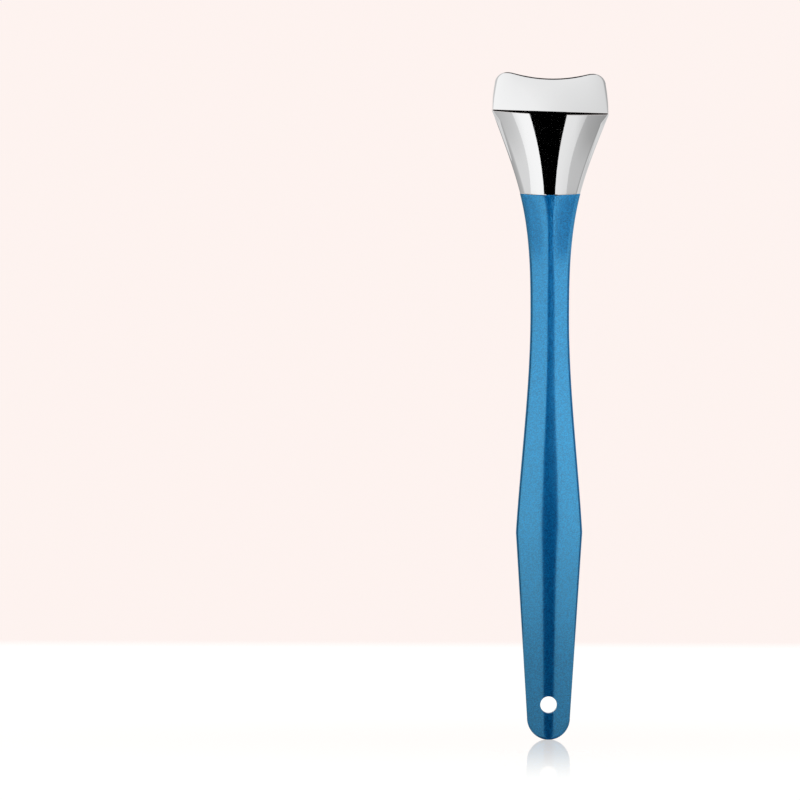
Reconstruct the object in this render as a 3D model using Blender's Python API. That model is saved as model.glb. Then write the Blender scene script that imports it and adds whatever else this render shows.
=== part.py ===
"""Blackhead extractor: a rigid steel hand tool, about 120 mm long.

The tool stands on its tail, with its scraping edge up. X runs across it, its crowned front
faces -Y, and its back is flat and faces +Y. The origin is under the middle of its box.

A flat blade's tongue seats in the top of a flared neck. A steel tang joins the neck to the
handle. Short pins, driven in from the flat back, lock each joint.
"""
import math

import bmesh
import bpy
from mathutils import Vector

MM = 0.001

# Lengths along the tool
HANDLE_LENGTH = 98.05 * MM
PALM_HEIGHT = 37.3 * MM
WAIST_HEIGHT = 76.2 * MM
NECK_LENGTH = 14.4 * MM
BLADE_HEIGHT = 7.0 * MM

# Widths, seen from the front
TAIL_WIDTH = 7.7 * MM
PALM_WIDTH = 11.92 * MM
WAIST_WIDTH = 6.96 * MM
JOINT_WIDTH = 10.8 * MM
BLADE_BASE_WIDTH = 21.1 * MM
LIP_STEP = 0.05 * MM  # how far each side of the blade's base stands out past the neck's lip
EAR_WIDTH = 20.1 * MM

# Thicknesses on the centre line
TAIL_DEPTH = 3.4 * MM
PALM_DEPTH = 4.4 * MM
WAIST_DEPTH = 3.6 * MM
JOINT_DEPTH = 4.2 * MM
LIP_DEPTH = 4.0 * MM
EDGE_DEPTH = 0.8 * MM

# How far the middle of the front stands out past its sides
TAIL_CROWN = 0.75 * MM
PALM_CROWN = 1.08 * MM
WAIST_CROWN = 0.75 * MM
JOINT_CROWN = 1.12 * MM
LIP_CROWN = 1.97 * MM
EDGE_CROWN = 0.3 * MM

# Slopes per unit of height: of each side of the outline, and of the crown above the joint
PALM_FALL_SLOPE = -0.06
JOINT_FLARE_SLOPE = 0.25
LIP_FLARE_SLOPE = 0.38
CROWN_RISE_SLOPE = 0.055

# Ridge sharpness of the crown: near 0 it is a plain arc, and higher is more like a roof
TAIL_SHARPNESS = 1.5
PALM_SHARPNESS = 2.0
WAIST_SHARPNESS = 2.5
THROAT_SHARPNESS = 3.9
JOINT_SHARPNESS = 2.6
LIP_SHARPNESS = 0.1
THROAT_SHARE = 0.85  # the throat's place between the waist and the joint

# Rounded edges
FRONT_ROUND = 0.9 * MM
TAIL_ROUND = 0.45 * MM  # what the front's round shrinks to at the tail
SIDE_ROUND = 0.25 * MM  # what the front's round shrinks to where neck and blade meet
SIDE_ROUND_REACH = 2.0 * MM  # how far below the lip it begins to shrink
BACK_ROUND = 0.5 * MM
EDGE_ROUND = 0.4 * MM
EAR_ROUND = 2.3 * MM
EAR_START_ANGLE = math.radians(10.0)
FRONT_ROUND_SHARE = 0.5  # the most of a wall that its front round may take
BACK_ROUND_SHARE = 0.3

# Dips of the lines that cross the front
DISH_DEPTH = 0.95 * MM
DISH_SHARE = 0.84  # how much of the way from the middle to an ear's crest is hollow
JOINT_DIP = 0.3 * MM
LIP_DIP = 0.4 * MM

# Hanging hole
HANG_HOLE_DIAMETER = 3.0 * MM
HANG_HOLE_HEIGHT = 6.3 * MM
HANG_HOLE_CHAMFER = 0.2 * MM

# Fits: FIT is the gap that touching pieces keep, BACK_WALL the metal behind a slot or pocket
FIT = 0.3 * MM
BACK_WALL = 0.75 * MM

# Tongue of the blade
TONGUE_LENGTH = 5.0 * MM
TONGUE_TOP_WIDTH = 12.0 * MM
TONGUE_END_WIDTH = 8.0 * MM
TONGUE_THICKNESS = 1.2 * MM
BLADE_PIN_SPACING = 6.4 * MM
BLADE_PIN_DROP = 2.5 * MM

# Tang
TANG_WIDTH = 3.4 * MM
TANG_THICKNESS = 1.2 * MM
TANG_IN_NECK = 7.6 * MM
TANG_IN_HANDLE = 32.0 * MM
NECK_PIN_RISE = 4.0 * MM
HANDLE_PIN_DROP = 6.0 * MM

# Pins
PIN_DIAMETER = 1.2 * MM
PIN_LENGTH = 2.85 * MM
PIN_CHAMFER = 0.15 * MM

# Facets
TAIL_ROWS = 7
TAIL_START_ANGLE = math.radians(12.0)
HANDLE_ROWS = 11
NECK_ROWS = 13
BLADE_ROWS = 6
ROUND_STEPS = 4
CROWN_STEPS = 6
EAR_STEPS = 7
DISH_STEPS = 9
HOLE_SIDES = 32
PIN_SIDES = 20
OVERRUN = 1.0 * MM

# What follows from the sizes above
LIP_WIDTH = BLADE_BASE_WIDTH - 2 * LIP_STEP
TAIL_RADIUS = TAIL_WIDTH / 2
NECK_FOOT = HANDLE_LENGTH + FIT
LIP_HEIGHT = NECK_FOOT + NECK_LENGTH
BLADE_BASE = LIP_HEIGHT + FIT
CREST_HEIGHT = BLADE_BASE + BLADE_HEIGHT
THROAT_HEIGHT = WAIST_HEIGHT + THROAT_SHARE * (HANDLE_LENGTH - WAIST_HEIGHT)
BACK_Y = max(TAIL_DEPTH, PALM_DEPTH, WAIST_DEPTH, JOINT_DEPTH, LIP_DEPTH) / 2


def material(name, colour, roughness, metallic):
    """A plain Principled material."""
    made = bpy.data.materials.new(name)
    made.use_nodes = True
    shader = made.node_tree.nodes["Principled BSDF"]
    shader.inputs["Base Color"].default_value = (*colour, 1.0)
    shader.inputs["Roughness"].default_value = roughness
    shader.inputs["Metallic"].default_value = metallic
    return made


def spread(start, end, steps):
    """Evenly spaced values from start to end, both included."""
    return [start + (end - start) * i / steps for i in range(steps + 1)]


def flow(z, knots):
    """A smooth curve through knots of (height, value, slope below, slope above)."""
    if z <= knots[0][0]:
        return knots[0][1]
    for low, high in zip(knots, knots[1:]):
        if z > high[0]:
            continue
        span = high[0] - low[0]
        t = (z - low[0]) / span
        rise = t * t * (3 - 2 * t)
        leave = t * (1 - t) ** 2 * span * low[3]
        arrive = t * t * (t - 1) * span * high[2]
        return low[1] + rise * (high[1] - low[1]) + leave + arrive
    return knots[-1][1]


def body_half_width(z):
    """Half the width of the handle and neck, as if the tail weren't rounded off."""
    tail_slope = (PALM_WIDTH - TAIL_WIDTH) / 2 / (PALM_HEIGHT - TAIL_RADIUS)
    return flow(z, (
        (TAIL_RADIUS, TAIL_WIDTH / 2, tail_slope, tail_slope),
        (PALM_HEIGHT, PALM_WIDTH / 2, tail_slope, PALM_FALL_SLOPE),
        (WAIST_HEIGHT, WAIST_WIDTH / 2, 0, 0),
        (HANDLE_LENGTH, JOINT_WIDTH / 2, JOINT_FLARE_SLOPE, JOINT_FLARE_SLOPE),
        (LIP_HEIGHT, LIP_WIDTH / 2, LIP_FLARE_SLOPE, LIP_FLARE_SLOPE),
    ))


def body_depth(z):
    """Thickness of the handle and neck on the centre line."""
    return flow(z, (
        (0, TAIL_DEPTH, 0, 0),
        (PALM_HEIGHT, PALM_DEPTH, 0, 0),
        (WAIST_HEIGHT, WAIST_DEPTH, 0, 0),
        (HANDLE_LENGTH, JOINT_DEPTH, 0, 0),
        (LIP_HEIGHT, LIP_DEPTH, 0, 0),
    ))


def crown_height(z):
    """How far the centre line stands out past the sides."""
    return flow(z, (
        (0, TAIL_CROWN, 0, 0),
        (PALM_HEIGHT, PALM_CROWN, 0, 0),
        (WAIST_HEIGHT, WAIST_CROWN, 0, 0),
        (HANDLE_LENGTH, JOINT_CROWN, 0, CROWN_RISE_SLOPE),
        (LIP_HEIGHT, LIP_CROWN, 0, 0),
    ))


def crown_sharpness(z):
    """How ridged the crown is."""
    neck_fall = (LIP_SHARPNESS - JOINT_SHARPNESS) / (LIP_HEIGHT - HANDLE_LENGTH)
    return flow(z, (
        (0, TAIL_SHARPNESS, 0, 0),
        (PALM_HEIGHT, PALM_SHARPNESS, 0, 0),
        (WAIST_HEIGHT, WAIST_SHARPNESS, 0, 0),
        (THROAT_HEIGHT, THROAT_SHARPNESS, 0, 0),
        (HANDLE_LENGTH, JOINT_SHARPNESS, 0, neck_fall),
        (LIP_HEIGHT, LIP_SHARPNESS, neck_fall, 0),
    ))


def front_radius(z):
    """Radius of the rounded sides of the front, before a thin wall limits it."""
    return flow(z, (
        (TAIL_RADIUS, TAIL_ROUND, 0, 0),
        (PALM_HEIGHT, FRONT_ROUND, 0, 0),
        (LIP_HEIGHT - SIDE_ROUND_REACH, FRONT_ROUND, 0, 0),
        (LIP_HEIGHT, SIDE_ROUND, 0, 0),
    ))


def ridge(u, sharpness):
    """Fall of a crown of height 1 from its middle (u = 0) to its side (u = 1)."""
    soft = 1 / sharpness
    return (math.hypot(u, soft) - soft) / (math.hypot(1, soft) - soft)


def dip(z):
    """How far the middle of a line across the front hangs below its ends."""
    return flow(z, (
        (WAIST_HEIGHT, 0, 0, 0),
        (HANDLE_LENGTH, JOINT_DIP, 0, 0),
        (LIP_HEIGHT, LIP_DIP, 0, 0),
    ))


def front_depth(u, depth, crown, sharpness):
    """Depth of the crowned front at u, the share of the way from the centre to the side."""
    return depth - crown * ridge(min(abs(u), 1.0), sharpness)


def round_drop(inset, radius):
    """How far a rounded edge falls away at a distance of inset from the rim."""
    short = max(radius - max(inset, 0), 0)
    return radius - math.sqrt(radius * radius - short * short)


def rim_distance(x, z, rim):
    """Distance in the front view from a point to the rim, a line of (x, z) points."""
    least = math.inf
    for (ax, az), (bx, bz) in zip(rim, rim[1:]):
        run_x = bx - ax
        run_z = bz - az
        share = ((x - ax) * run_x + (z - az) * run_z) / (run_x * run_x + run_z * run_z)
        share = min(max(share, 0), 1)
        least = min(least, math.hypot(x - ax - share * run_x, z - az - share * run_z))
    return least


def slab(name, rows):
    """A closed solid from a grid of points (x, z, back depth, front depth)."""
    shape = bmesh.new()

    def skin(layer):
        return [[shape.verts.new((p[0], BACK_Y - p[layer], p[1])) for p in row] for row in rows]

    back = skin(2)
    front = skin(3)
    for side in (back, front):
        for low, high in zip(side, side[1:]):
            for j in range(len(low) - 1):
                shape.faces.new((low[j], low[j + 1], high[j + 1], high[j]))

    def rim_of(grid):
        right = [row[-1] for row in grid]
        left = [row[0] for row in grid]
        return grid[0][:-1] + right[:-1] + grid[-1][:0:-1] + left[:0:-1]

    back_rim = rim_of(back)
    front_rim = rim_of(front)
    for i in range(len(back_rim)):
        shape.faces.new((back_rim[i - 1], back_rim[i], front_rim[i], front_rim[i - 1]))
    return finished(name, shape)


def finished(name, shape):
    """Turn a bmesh into an object in the scene, with its faces pointing out."""
    bmesh.ops.recalc_face_normals(shape, faces=shape.faces)
    mesh = bpy.data.meshes.new(name)
    shape.to_mesh(mesh)
    shape.free()
    made = bpy.data.objects.new(name, mesh)
    bpy.context.scene.collection.objects.link(made)
    return made


def prism(name, outline, depth_low, depth_high):
    """A plate from an outline of (x, z) points, between two depths from the back."""
    shape = bmesh.new()
    loop = [shape.verts.new((x, BACK_Y - depth_low, z)) for x, z in outline]
    face = shape.faces.new(loop)
    grown = bmesh.ops.extrude_face_region(shape, geom=[face])
    moved = [v for v in grown["geom"] if isinstance(v, bmesh.types.BMVert)]
    bmesh.ops.translate(shape, verts=moved, vec=Vector((0, depth_low - depth_high, 0)))
    return finished(name, shape)


def drum(name, x, z, depths_and_radii, sides):
    """A turned solid whose axis runs from back to front through x and z."""
    shape = bmesh.new()
    rings = []
    for depth, radius in depths_and_radii:
        turns = [2 * math.pi * i / sides for i in range(sides)]
        points = [(x + radius * math.cos(a), BACK_Y - depth, z + radius * math.sin(a)) for a in turns]
        rings.append([shape.verts.new(p) for p in points])
    shape.faces.new(rings[0])
    shape.faces.new(rings[-1])
    for low, high in zip(rings, rings[1:]):
        for i in range(sides):
            shape.faces.new((low[i - 1], low[i], high[i], high[i - 1]))
    return finished(name, shape)


def boolean(target, tool, operation):
    """Cut the target with a tool, or join the tool to it."""
    tool.hide_render = True
    tool.display_type = "WIRE"
    step = target.modifiers.new(tool.name, "BOOLEAN")
    step.operation = operation
    step.solver = "EXACT"
    step.object = tool


def side_insets(half_width):
    """Distances in from the side at which the columns of points lie, side first."""
    round_width = min(FRONT_ROUND, half_width / 2)
    turns = spread(math.pi / 2, 0, ROUND_STEPS)
    return [round_width * (1 - math.sin(turn)) for turn in turns]


def columns(half_width):
    """Places across a row, from left to right, closer together on the rounded sides."""
    right = [half_width - inset for inset in side_insets(half_width)]
    inner = spread(-right[-1], right[-1], 2 * CROWN_STEPS)
    return [-x for x in right[:-1]] + inner + right[-2::-1]


def body_rows(levels):
    """Grid of the handle or neck. Each level is a height and the half width there."""
    rim_left = [(-half, z) for z, half in levels]
    rim_right = [(half, z) for z, half in levels]
    rows = []
    for z, half in levels:
        row = []
        full_half = body_half_width(z)
        wall = body_depth(z) - crown_height(z)
        front_round = min(front_radius(z), FRONT_ROUND_SHARE * wall)
        back_round = min(BACK_ROUND, BACK_ROUND_SHARE * wall)
        for x in columns(half):
            u = x / full_half
            inset = min(rim_distance(x, z, rim_left), rim_distance(x, z, rim_right))
            if levels[0][0] < TAIL_RADIUS:
                inset = min(inset, z)
            front = front_depth(u, body_depth(z), crown_height(z), crown_sharpness(z))
            sink = dip(z) * (1 - u * u)
            row.append((x, z - sink, round_drop(inset, back_round), front - round_drop(inset, front_round)))
        rows.append(row)
    return rows


def build_handle():
    """The handle: round tail, palm swell, waist, hanging hole and the tang's pocket."""
    levels = []
    tail_drop = TAIL_RADIUS * (1 - math.cos(TAIL_START_ANGLE))
    for turn in spread(TAIL_START_ANGLE, math.pi / 2, TAIL_ROWS):
        z = TAIL_RADIUS * (1 - math.cos(turn)) - tail_drop
        levels.append((z, TAIL_RADIUS * math.sin(turn)))
    stops = (levels[-1][0], PALM_HEIGHT, WAIST_HEIGHT, HANDLE_LENGTH)
    for low, high in zip(stops, stops[1:]):
        levels += [(z, body_half_width(z)) for z in spread(low, high, HANDLE_ROWS)[1:]]
    handle = slab("handle", body_rows(levels))

    chamfer_radius = HANG_HOLE_DIAMETER / 2 + HANG_HOLE_CHAMFER
    front = body_depth(HANG_HOLE_HEIGHT)
    hole = drum("hanging_hole_cutter", 0, HANG_HOLE_HEIGHT, (
        (-OVERRUN, chamfer_radius + OVERRUN),
        (HANG_HOLE_CHAMFER, HANG_HOLE_DIAMETER / 2),
        (front - HANG_HOLE_CHAMFER, HANG_HOLE_DIAMETER / 2),
        (front + OVERRUN, chamfer_radius + OVERRUN),
    ), HOLE_SIDES)
    boolean(handle, hole, "DIFFERENCE")

    foot = HANDLE_LENGTH - TANG_IN_HANDLE - FIT
    pocket = strip("handle_pocket_cutter", foot, HANDLE_LENGTH + OVERRUN, FIT)
    boolean(handle, pocket, "DIFFERENCE")
    boolean(handle, pin_hole("handle_pin_cutter", 0, HANDLE_LENGTH - HANDLE_PIN_DROP), "DIFFERENCE")
    return handle


def strip(name, low, high, clearance):
    """The tang, or with a clearance the room for it, from one height to another."""
    half = TANG_WIDTH / 2 + clearance
    corner = half / 2
    outline = (
        (-half, low + corner),
        (-half + corner, low),
        (half - corner, low),
        (half, low + corner),
        (half, high - corner),
        (half - corner, high),
        (-half + corner, high),
        (-half, high - corner),
    )
    depth = BACK_WALL + FIT
    return prism(name, outline, depth - clearance, depth + TANG_THICKNESS + clearance)


def tongue(name, clearance, rise):
    """The blade's tongue, or with a clearance the slot for it."""
    top = BLADE_BASE + rise
    foot = BLADE_BASE - TONGUE_LENGTH - clearance
    top_half = TONGUE_TOP_WIDTH / 2 + clearance
    foot_half = TONGUE_END_WIDTH / 2 + clearance
    outline = ((-foot_half, foot), (foot_half, foot), (top_half, BLADE_BASE), (top_half, top), (-top_half, top),
               (-top_half, BLADE_BASE))
    depth = BACK_WALL + FIT
    return prism(name, outline, depth - clearance, depth + TONGUE_THICKNESS + clearance)


def pin(name, x, z):
    """A dowel whose outer end is flush with the flat back."""
    radius = PIN_DIAMETER / 2
    return drum(name, x, z, (
        (0, radius - PIN_CHAMFER),
        (PIN_CHAMFER, radius),
        (PIN_LENGTH - PIN_CHAMFER, radius),
        (PIN_LENGTH, radius - PIN_CHAMFER),
    ), PIN_SIDES)


def pin_hole(name, x, z):
    """The room for a pin, open at the back."""
    radius = PIN_DIAMETER / 2 + FIT
    return drum(name, x, z, ((-OVERRUN, radius), (PIN_LENGTH + FIT, radius)), PIN_SIDES)


def blade_pin_places():
    """Side, x and z of the two pins through the blade's tongue."""
    z = BLADE_BASE - BLADE_PIN_DROP
    return (("left", -BLADE_PIN_SPACING / 2, z), ("right", BLADE_PIN_SPACING / 2, z))


def build_neck():
    """The flared neck: slot for the blade above, socket for the tang below."""
    levels = [(z, body_half_width(z)) for z in spread(NECK_FOOT, LIP_HEIGHT, NECK_ROWS)]
    neck = slab("neck", body_rows(levels))
    boolean(neck, tongue("neck_slot_cutter", FIT, OVERRUN), "DIFFERENCE")
    socket = strip("neck_socket_cutter", HANDLE_LENGTH - OVERRUN, HANDLE_LENGTH + TANG_IN_NECK + FIT, FIT)
    boolean(neck, socket, "DIFFERENCE")
    boolean(neck, pin_hole("neck_pin_cutter", 0, NECK_FOOT + NECK_PIN_RISE), "DIFFERENCE")
    for side, x, z in blade_pin_places():
        boolean(neck, pin_hole(f"neck_{side}_pin_cutter", x, z), "DIFFERENCE")
    return neck


def ear_columns():
    """The blade's top outline from the middle to the right: (x, z) points."""
    start_x = EAR_WIDTH / 2 - EAR_ROUND * math.cos(EAR_START_ANGLE)
    hollow_end = DISH_SHARE * start_x
    slope = 2 * DISH_DEPTH / start_x
    points = []
    for x in spread(0, start_x, DISH_STEPS):
        if x < hollow_end:
            fall = DISH_DEPTH - slope * x * x / (2 * hollow_end)
        else:
            fall = slope * (start_x - x) ** 2 / (2 * (start_x - hollow_end))
        points.append((x, CREST_HEIGHT - fall))
    centre_z = CREST_HEIGHT - EAR_ROUND
    for turn in spread(math.pi / 2, EAR_START_ANGLE, EAR_STEPS)[1:]:
        points.append((start_x + EAR_ROUND * math.cos(turn), centre_z + EAR_ROUND * math.sin(turn)))
    return points


def blade_half_width(share):
    """Half the blade's width, from its base (share 0) to the foot of the ears (share 1)."""
    return (BLADE_BASE_WIDTH - (BLADE_BASE_WIDTH - EAR_WIDTH) * share * share) / 2


def build_blade():
    """The blade: a wedge whose crowned base thins to the dished edge, with a tongue below."""
    right = ear_columns()
    top = [(-x, z) for x, z in right[:0:-1]] + right
    shares = spread(0, 1 - EDGE_ROUND / BLADE_HEIGHT, BLADE_ROWS)
    for turn in spread(0, math.pi / 2, ROUND_STEPS)[1:]:
        shares.append(1 - EDGE_ROUND * (1 - math.sin(turn)) / BLADE_HEIGHT)

    side_z = right[-1][1]
    side = [(blade_half_width(s), BLADE_BASE + s * (side_z - BLADE_BASE)) for s in shares]
    rim = [(-x, z) for x, z in side] + top[1:-1] + side[::-1]
    rows = []
    for share in shares:
        row = []
        for top_x, top_z in top:
            u = top_x / (EAR_WIDTH / 2)
            x = u * blade_half_width(share)
            base_z = BLADE_BASE - LIP_DIP * (1 - u * u)
            z = base_z + share * (top_z - base_z)
            base_front = front_depth(u, LIP_DEPTH, LIP_CROWN, LIP_SHARPNESS)
            edge_front = EDGE_DEPTH - EDGE_CROWN * u * u
            front = base_front * (1 - share) + edge_front * share
            wall = (LIP_DEPTH - LIP_CROWN) * (1 - share) + edge_front * share
            front_round = min(SIDE_ROUND * (1 - share) + EDGE_ROUND * share, FRONT_ROUND_SHARE * wall)
            back_round = min(BACK_ROUND * (1 - share) + EDGE_ROUND * share, BACK_ROUND_SHARE * wall)
            inset = rim_distance(x, z, rim)
            row.append((x, z, round_drop(inset, back_round), front - round_drop(inset, front_round)))
        rows.append(row)
    blade = slab("scraper_blade", rows)
    boolean(blade, tongue("blade_tongue", 0, EDGE_ROUND), "UNION")
    for side, x, z in blade_pin_places():
        boolean(blade, pin_hole(f"tongue_{side}_pin_cutter", x, z), "DIFFERENCE")
    return blade


def build_tang():
    """The steel strip between neck and handle, drilled for its two pins."""
    tang = strip("tang", HANDLE_LENGTH - TANG_IN_HANDLE, HANDLE_LENGTH + TANG_IN_NECK, 0)
    boolean(tang, pin_hole("tang_upper_cutter", 0, NECK_FOOT + NECK_PIN_RISE), "DIFFERENCE")
    boolean(tang, pin_hole("tang_lower_cutter", 0, HANDLE_LENGTH - HANDLE_PIN_DROP), "DIFFERENCE")
    return tang


def give(made, finish):
    """Put a material on an object and shade its round faces smooth."""
    made.data.materials.append(finish)
    made.data.shade_smooth()
    made.data.set_sharp_from_angle(angle=math.radians(35.0))


def main():
    for old in list(bpy.context.scene.objects):
        bpy.data.objects.remove(old, do_unlink=True)

    give(build_handle(), material("blue_pearl", (0.035, 0.24, 0.47), 0.3, 0.6))
    give(build_neck(), material("chrome", (0.86, 0.86, 0.86), 0.05, 1.0))
    give(build_blade(), material("polished_steel", (0.8, 0.8, 0.8), 0.12, 1.0))
    give(build_tang(), material("strip_steel", (0.45, 0.45, 0.46), 0.4, 1.0))
    steel = material("pin_steel", (0.6, 0.6, 0.6), 0.25, 1.0)
    for side, x, z in blade_pin_places():
        give(pin(f"blade_pin_{side}", x, z), steel)
    give(pin("neck_pin", 0, NECK_FOOT + NECK_PIN_RISE), steel)
    give(pin("handle_pin", 0, HANDLE_LENGTH - HANDLE_PIN_DROP), steel)


main()
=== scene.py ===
"""Looks of the blackhead extractor: a mirror-bright head on a pearl-blue handle.

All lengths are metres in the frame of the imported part. The tool stands on its tail, X runs
across it, its crowned front faces -Y and its flat back +Y. Fine meshes stand for the faceted
handle, neck, blade and pins, and follow the same shape rules.
"""
import math

import bmesh
import bpy
import numpy as np
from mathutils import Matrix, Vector


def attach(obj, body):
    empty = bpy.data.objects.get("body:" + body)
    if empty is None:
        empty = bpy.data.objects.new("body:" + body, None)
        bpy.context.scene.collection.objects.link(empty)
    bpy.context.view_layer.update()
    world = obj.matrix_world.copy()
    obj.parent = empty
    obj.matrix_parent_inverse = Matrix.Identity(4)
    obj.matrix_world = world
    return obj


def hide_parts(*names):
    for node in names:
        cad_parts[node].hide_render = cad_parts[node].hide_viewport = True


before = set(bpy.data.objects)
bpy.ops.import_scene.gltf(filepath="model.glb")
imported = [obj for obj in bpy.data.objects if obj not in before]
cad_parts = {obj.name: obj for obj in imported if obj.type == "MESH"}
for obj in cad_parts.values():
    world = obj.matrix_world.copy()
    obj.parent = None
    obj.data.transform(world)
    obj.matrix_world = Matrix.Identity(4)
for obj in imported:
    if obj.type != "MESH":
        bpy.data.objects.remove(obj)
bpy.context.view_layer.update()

MM = 0.001

# Lengths along the tool
HANDLE_LENGTH = 98.05 * MM
PALM_HEIGHT = 37.3 * MM
WAIST_HEIGHT = 76.2 * MM
NECK_LENGTH = 14.4 * MM
BLADE_HEIGHT = 7.0 * MM

# Widths, seen from the front
TAIL_WIDTH = 7.7 * MM
PALM_WIDTH = 11.92 * MM
WAIST_WIDTH = 6.96 * MM
JOINT_WIDTH = 10.8 * MM
BLADE_BASE_WIDTH = 21.1 * MM
LIP_STEP = 0.05 * MM
LIP_WIDTH = BLADE_BASE_WIDTH - 2 * LIP_STEP
EAR_WIDTH = 20.1 * MM

# Thicknesses on the centre line
TAIL_DEPTH = 3.4 * MM
PALM_DEPTH = 4.4 * MM
WAIST_DEPTH = 3.6 * MM
JOINT_DEPTH = 4.2 * MM
LIP_DEPTH = 4.0 * MM
EDGE_DEPTH = 0.8 * MM

# How far the middle of the front stands out past its sides
TAIL_CROWN = 0.75 * MM
PALM_CROWN = 1.08 * MM
WAIST_CROWN = 0.75 * MM
JOINT_CROWN = 1.12 * MM
LIP_CROWN = 1.97 * MM
EDGE_CROWN = 0.3 * MM

# Slopes of each side of the outline, per unit of height
PALM_FALL_SLOPE = -0.06
JOINT_FLARE_SLOPE = 0.25
LIP_FLARE_SLOPE = 0.38
CROWN_RISE_SLOPE = 0.055

# Ridge sharpness of the crown
TAIL_SHARPNESS = 1.5
PALM_SHARPNESS = 2.0
WAIST_SHARPNESS = 2.5
THROAT_SHARPNESS = 3.9
JOINT_SHARPNESS = 2.6
LIP_SHARPNESS = 0.1
THROAT_SHARE = 0.85

# Leans of the crease and of the ears: the right end is a little lower
CREASE_LEAN = math.radians(1.7)
CREST_LEAN = math.radians(0.9)

# The land is the narrow bevel between neck and facet
LAND_ANGLE = math.radians(5.0)
LAND_EASE_SHARE = 0.14

# Rounded edges
FRONT_ROUND = 0.9 * MM
TAIL_ROUND = 0.45 * MM
SIDE_ROUND = 0.25 * MM
SIDE_ROUND_REACH = 2.0 * MM
BACK_ROUND = 0.5 * MM
EDGE_ROUND = 0.4 * MM
EAR_ROUND = 2.3 * MM
EAR_START_ANGLE = math.radians(10.0)
FRONT_ROUND_SHARE = 0.5
BACK_ROUND_SHARE = 0.3
LIP_ROUND = 0.03 * MM

# Dips of the lines that cross the front
DISH_DEPTH = 0.95 * MM
DISH_SHARE = 0.84
JOINT_DIP = 0.3 * MM
LIP_DIP = 0.4 * MM

# Hanging hole
HANG_HOLE_DIAMETER = 3.0 * MM
HANG_HOLE_HEIGHT = 6.3 * MM
HANG_HOLE_LIP = 0.2 * MM

# Inner joints
FIT = 0.3 * MM
SEAM = 0.02 * MM
BACK_WALL = 0.75 * MM
TONGUE_LENGTH = 5.0 * MM
TONGUE_TOP_WIDTH = 12.0 * MM
TONGUE_END_WIDTH = 8.0 * MM
TONGUE_THICKNESS = 1.2 * MM
BLADE_PIN_SPACING = 6.4 * MM
BLADE_PIN_DROP = 2.5 * MM
TANG_WIDTH = 3.4 * MM
TANG_THICKNESS = 1.2 * MM
TANG_IN_NECK = 7.6 * MM
TANG_IN_HANDLE = 32.0 * MM
NECK_PIN_RISE = 4.0 * MM
HANDLE_PIN_DROP = 6.0 * MM
PIN_DIAMETER = 1.2 * MM
PIN_LENGTH = 2.85 * MM
PIN_CHAMFER = 0.04 * MM

# Mesh fineness
TAIL_START_ANGLE = math.radians(3.0)
TAIL_ROWS = 28
HANDLE_ROW_STEP = 0.3 * MM
NECK_ROW_STEP = 0.12 * MM
ROUND_STEPS = 10
HANDLE_CROWN_STEPS = 26
NECK_CROWN_STEPS = 60
BLADE_ROWS = 56
EASE_ROWS = 6
EAR_STEPS = 22
DISH_STEPS = 56
HOLE_SIDES = 96
HOLE_LIP_STEPS = 6
LIP_ROUND_STEPS = 4
PIN_SIDES = 48
SHARP_ANGLE = math.radians(40.0)
OVERRUN = 1.0 * MM
JOINT_OVERRUN = 4.0 * MM

# Heights that follow
TAIL_RADIUS = TAIL_WIDTH / 2
NECK_FOOT = HANDLE_LENGTH + FIT
LIP_HEIGHT = NECK_FOOT + NECK_LENGTH
BLADE_BASE = LIP_HEIGHT + FIT
CREST_HEIGHT = BLADE_BASE + BLADE_HEIGHT
THROAT_HEIGHT = WAIST_HEIGHT + THROAT_SHARE * (HANDLE_LENGTH - WAIST_HEIGHT)
BACK_Y = max(TAIL_DEPTH, PALM_DEPTH, WAIST_DEPTH, JOINT_DEPTH, LIP_DEPTH) / 2
JOINT_LINE = HANDLE_LENGTH + FIT / 2


def flow(z, knots):
    """A smooth curve through knots of (height, value, slope below, slope above)."""
    z = np.asarray(z, float)
    out = np.full(z.shape, float(knots[0][1]))
    for low, high in zip(knots, knots[1:]):
        span = high[0] - low[0]
        t = np.clip((z - low[0]) / span, 0, 1)
        rise = t * t * (3 - 2 * t)
        leave = t * (1 - t) ** 2 * span * low[3]
        arrive = t * t * (t - 1) * span * high[2]
        out = np.where(z > low[0], low[1] + rise * (high[1] - low[1]) + leave + arrive, out)
    return out


def body_half_width(z):
    """Half the width of the handle and neck, as if the tail weren't rounded off."""
    tail_slope = (PALM_WIDTH - TAIL_WIDTH) / 2 / (PALM_HEIGHT - TAIL_RADIUS)
    return flow(z, (
        (TAIL_RADIUS, TAIL_WIDTH / 2, tail_slope, tail_slope),
        (PALM_HEIGHT, PALM_WIDTH / 2, tail_slope, PALM_FALL_SLOPE),
        (WAIST_HEIGHT, WAIST_WIDTH / 2, 0, 0),
        (HANDLE_LENGTH, JOINT_WIDTH / 2, JOINT_FLARE_SLOPE, JOINT_FLARE_SLOPE),
        (LIP_HEIGHT, LIP_WIDTH / 2, LIP_FLARE_SLOPE, LIP_FLARE_SLOPE),
    ))


def body_depth(z):
    """Thickness of the handle and neck on the centre line."""
    return flow(z, (
        (0, TAIL_DEPTH, 0, 0),
        (PALM_HEIGHT, PALM_DEPTH, 0, 0),
        (WAIST_HEIGHT, WAIST_DEPTH, 0, 0),
        (HANDLE_LENGTH, JOINT_DEPTH, 0, 0),
        (LIP_HEIGHT, LIP_DEPTH, 0, 0),
    ))


def crown_height(z):
    """How far the centre line stands out past the sides."""
    return flow(z, (
        (0, TAIL_CROWN, 0, 0),
        (PALM_HEIGHT, PALM_CROWN, 0, 0),
        (WAIST_HEIGHT, WAIST_CROWN, 0, 0),
        (HANDLE_LENGTH, JOINT_CROWN, 0, CROWN_RISE_SLOPE),
        (LIP_HEIGHT, LIP_CROWN, 0, 0),
    ))


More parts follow.
